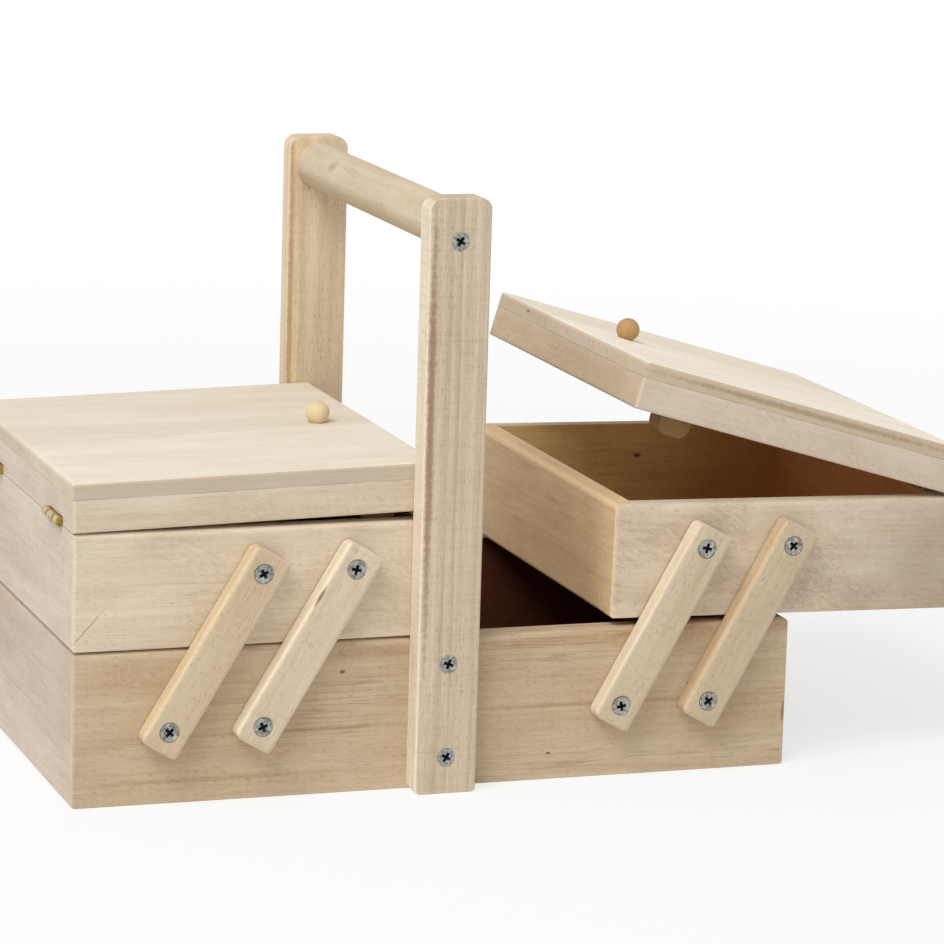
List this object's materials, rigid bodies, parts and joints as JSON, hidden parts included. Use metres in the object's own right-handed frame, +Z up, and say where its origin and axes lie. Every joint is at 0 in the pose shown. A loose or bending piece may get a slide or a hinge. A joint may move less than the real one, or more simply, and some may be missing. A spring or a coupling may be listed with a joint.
{
  "type": "sewing carrier",
  "caption": "Wooden sewing carrier: a base box, hinged-lid trays that swing out to the sides on paired links, and a fixed dowel handle on upright posts.",
  "frame": {"origin": "middle of the underside of the base box", "axes": "+X along the box towards the tray that stands open, +Y to the back, +Z up"},
  "size_m": [0.3415, 0.18, 0.2146],
  "materials": {
    "box_wood": "planed and sanded, unfinished, grain lengthwise",
    "rail_wood": "sanded, unfinished, grain lengthwise",
    "lid_wood": "sanded, unfinished, edge-glued boards",
    "panel_wood": "thin plywood, unfinished",
    "dowel_wood": "turned, unfinished",
    "knob_wood": "turned, unfinished",
    "zinc_steel": "zinc-plated",
    "brass": "brassed"
  },
  "bodies": {
    "base": {"base_front": "box_wood", "base_back": "box_wood", "base_left_end": "box_wood", "base_right_end": "box_wood", "base_bottom": "panel_wood", "front_post": "rail_wood", "back_post": "rail_wood", "handle_dowel": "dowel_wood", "base_pivot_screws": "zinc_steel", "post_screws": "zinc_steel", "handle_screws": "zinc_steel"},
    "left_front_outer_link": {"left_front_outer_link": "rail_wood"},
    "left_back_outer_link": {"left_back_outer_link": "rail_wood"},
    "left_front_inner_link": {"left_front_inner_link": "rail_wood"},
    "left_back_inner_link": {"left_back_inner_link": "rail_wood"},
    "left_tray": {"left_tray_front": "box_wood", "left_tray_back": "box_wood", "left_tray_inner_end": "box_wood", "left_tray_hinge_end": "box_wood", "left_tray_bottom": "panel_wood", "left_tray_pivot_screws": "zinc_steel", "left_hinge_tray_leaves": "brass", "left_hinge_pins": "brass"},
    "left_lid": {"left_lid_rim_front": "box_wood", "left_lid_rim_back": "box_wood", "left_lid_rim_free_end": "box_wood", "left_lid_rim_hinge_end": "box_wood", "left_lid_panel": "lid_wood", "left_knob": "knob_wood", "left_knob_screw": "zinc_steel", "left_locating_block": "box_wood", "left_hinge_lid_leaves": "brass"},
    "right_front_outer_link": {"right_front_outer_link": "rail_wood"},
    "right_back_outer_link": {"right_back_outer_link": "rail_wood"},
    "right_front_inner_link": {"right_front_inner_link": "rail_wood"},
    "right_back_inner_link": {"right_back_inner_link": "rail_wood"},
    "right_tray": {"right_tray_front": "box_wood", "right_tray_back": "box_wood", "right_tray_inner_end": "box_wood", "right_tray_hinge_end": "box_wood", "right_tray_bottom": "panel_wood", "right_tray_pivot_screws": "zinc_steel", "right_hinge_tray_leaves": "brass", "right_hinge_pins": "brass"},
    "right_lid": {"right_lid_rim_front": "box_wood", "right_lid_rim_back": "box_wood", "right_lid_rim_free_end": "box_wood", "right_lid_rim_hinge_end": "box_wood", "right_lid_panel": "lid_wood", "right_knob": "knob_wood", "right_knob_screw": "zinc_steel", "right_locating_block": "box_wood", "right_hinge_lid_leaves": "brass"}
  },
  "joints": [
    {"name": "left_swing", "type": "hinge", "parent": "base", "child": "left_front_outer_link", "pos_m": [-0.1014, -0.0838, 0.0276], "axis": [0, -1, 0], "range_deg": [0, 59.85]},
    {"name": "left_back_outer_swing", "type": "hinge", "parent": "base", "child": "left_back_outer_link", "pos_m": [-0.1014, 0.0838, 0.0276], "axis": [0, -1, 0], "range_deg": [0, 59.85]},
    {"name": "left_front_inner_swing", "type": "hinge", "parent": "base", "child": "left_front_inner_link", "pos_m": [-0.0675, -0.0838, 0.0276], "axis": [0, -1, 0], "range_deg": [0, 59.85]},
    {"name": "left_back_inner_swing", "type": "hinge", "parent": "base", "child": "left_back_inner_link", "pos_m": [-0.0675, 0.0838, 0.0276], "axis": [0, -1, 0], "range_deg": [0, 59.85]},
    {"name": "left_tray_pivot", "type": "hinge", "parent": "left_front_outer_link", "child": "left_tray", "pos_m": [-0.06818, -0.0838, 0.08289], "axis": [0, -1, 0], "range_deg": [-58.8, 0]},
    {"name": "left_lid_hinge", "type": "hinge", "parent": "left_tray", "child": "left_lid", "pos_m": [-0.136, 0, 0.0997], "axis": [0, -1, 0], "range_deg": [-1.36, 184.64]},
    {"name": "right_swing", "type": "hinge", "parent": "base", "child": "right_front_outer_link", "pos_m": [0.1014, -0.0838, 0.0276], "axis": [0, 1, 0], "range_deg": [-59.85, 0]},
    {"name": "right_back_outer_swing", "type": "hinge", "parent": "base", "child": "right_back_outer_link", "pos_m": [0.1014, 0.0838, 0.0276], "axis": [0, 1, 0], "range_deg": [-59.85, 0]},
    {"name": "right_front_inner_swing", "type": "hinge", "parent": "base", "child": "right_front_inner_link", "pos_m": [0.0675, -0.0838, 0.0276], "axis": [0, 1, 0], "range_deg": [-59.85, 0]},
    {"name": "right_back_inner_swing", "type": "hinge", "parent": "base", "child": "right_back_inner_link", "pos_m": [0.0675, 0.0838, 0.0276], "axis": [0, 1, 0], "range_deg": [-59.85, 0]},
    {"name": "right_tray_pivot", "type": "hinge", "parent": "right_front_outer_link", "child": "right_tray", "pos_m": [0.13252, -0.0838, 0.0841], "axis": [0, 1, 0], "range_deg": [0, 58.8]},
    {"name": "right_lid_hinge", "type": "hinge", "parent": "right_tray", "child": "right_lid", "pos_m": [0.20064, 0, 0.09966], "axis": [0, 1, 0], "range_deg": [-15.12, 170.88]}
  ],
  "couplings": [
    {"joint": "left_back_outer_swing", "follows": "left_swing", "ratio": 1},
    {"joint": "left_front_inner_swing", "follows": "left_swing", "ratio": 1},
    {"joint": "left_back_inner_swing", "follows": "left_swing", "ratio": 1},
    {"joint": "left_tray_pivot", "follows": "left_swing", "ratio": -0.98246},
    {"joint": "right_back_outer_swing", "follows": "right_swing", "ratio": 1},
    {"joint": "right_front_inner_swing", "follows": "right_swing", "ratio": 1},
    {"joint": "right_back_inner_swing", "follows": "right_swing", "ratio": 1},
    {"joint": "right_tray_pivot", "follows": "right_swing", "ratio": -0.98246}
  ]
}
